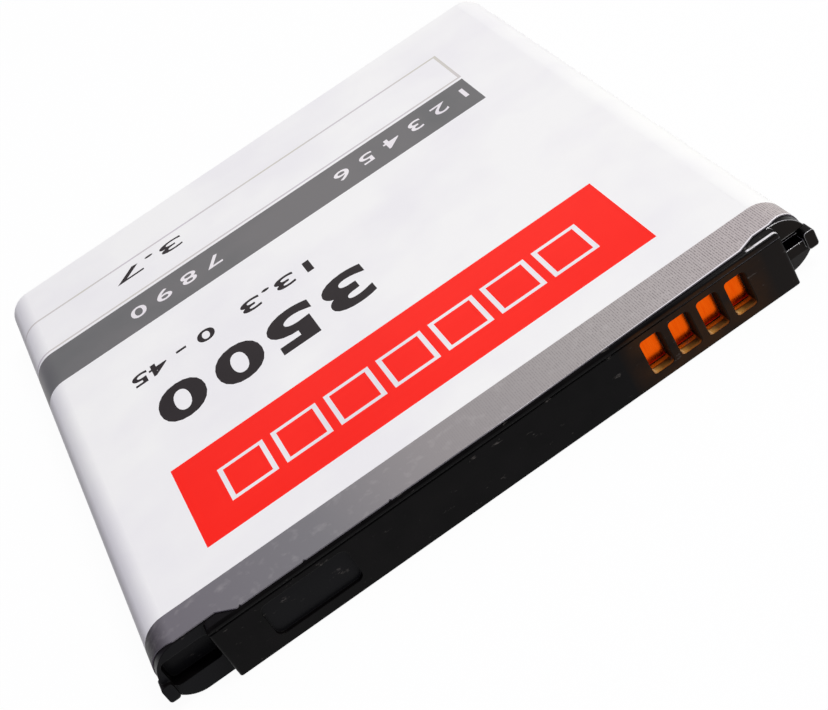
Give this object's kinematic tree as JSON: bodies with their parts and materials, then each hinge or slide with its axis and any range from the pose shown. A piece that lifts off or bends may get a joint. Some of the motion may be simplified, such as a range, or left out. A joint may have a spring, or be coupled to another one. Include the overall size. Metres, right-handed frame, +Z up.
{
  "type": "mobile phone battery",
  "caption": "Flat removable lithium-ion battery pack for a mobile phone: white printed label over a round-sided cell, black moulded contact end with gold contacts in windows.",
  "frame": {"origin": "middle of the underside, on the surface the pack lies on", "axes": "+X along the contact edge, contacts towards +X; -Y out of the contact face; +Z up out of the printed face"},
  "size_m": [0.0574, 0.063, 0.0052],
  "materials": {
    "label_film": "satin printed film",
    "black_moulding": "moulded, satin gloss",
    "drawn_aluminium": "drawn, dull",
    "nickel_strip": "rolled strip",
    "gold_plate": "plated, smooth",
    "glass_epoxy": "solder mask over glass cloth",
    "chip_epoxy": "moulded epoxy with tinned leads",
    "ceramic_chip": "fired ceramic with tinned ends",
    "fibre_paper": "pressed fibre paper",
    "bond_tape": "soft adhesive",
    "seal_plastic": "moulded seal"
  },
  "bodies": {
    "root": {"cell_can": "drawn_aluminium", "cell_lid": "drawn_aluminium", "fill_plug": "drawn_aluminium", "terminal_gasket": "seal_plastic", "terminal_rivet": "nickel_strip", "lid_insulator": "fibre_paper", "positive_tab": "nickel_strip", "negative_tab": "nickel_strip", "thermal_cutoff": "chip_epoxy", "protection_board": "glass_epoxy", "protection_chip": "chip_epoxy", "mosfet_pair": "chip_epoxy", "weld_plate_plus": "nickel_strip", "weld_plate_minus": "nickel_strip", "contact_cap": "black_moulding", "end_bar": "black_moulding", "cap_bond_left": "bond_tape", "cap_bond_right": "bond_tape", "end_tape": "bond_tape", "label_wrap": "label_film", "thermistor": "ceramic_chip", "contact_pad_1": "gold_plate", "contact_pad_2": "gold_plate", "contact_pad_3": "gold_plate", "contact_pad_4": "gold_plate", "resistor_1": "ceramic_chip", "capacitor_1": "ceramic_chip", "resistor_2": "ceramic_chip", "capacitor_2": "ceramic_chip", "resistor_3": "ceramic_chip", "capacitor_3": "ceramic_chip"}
  },
  "joints": []
}
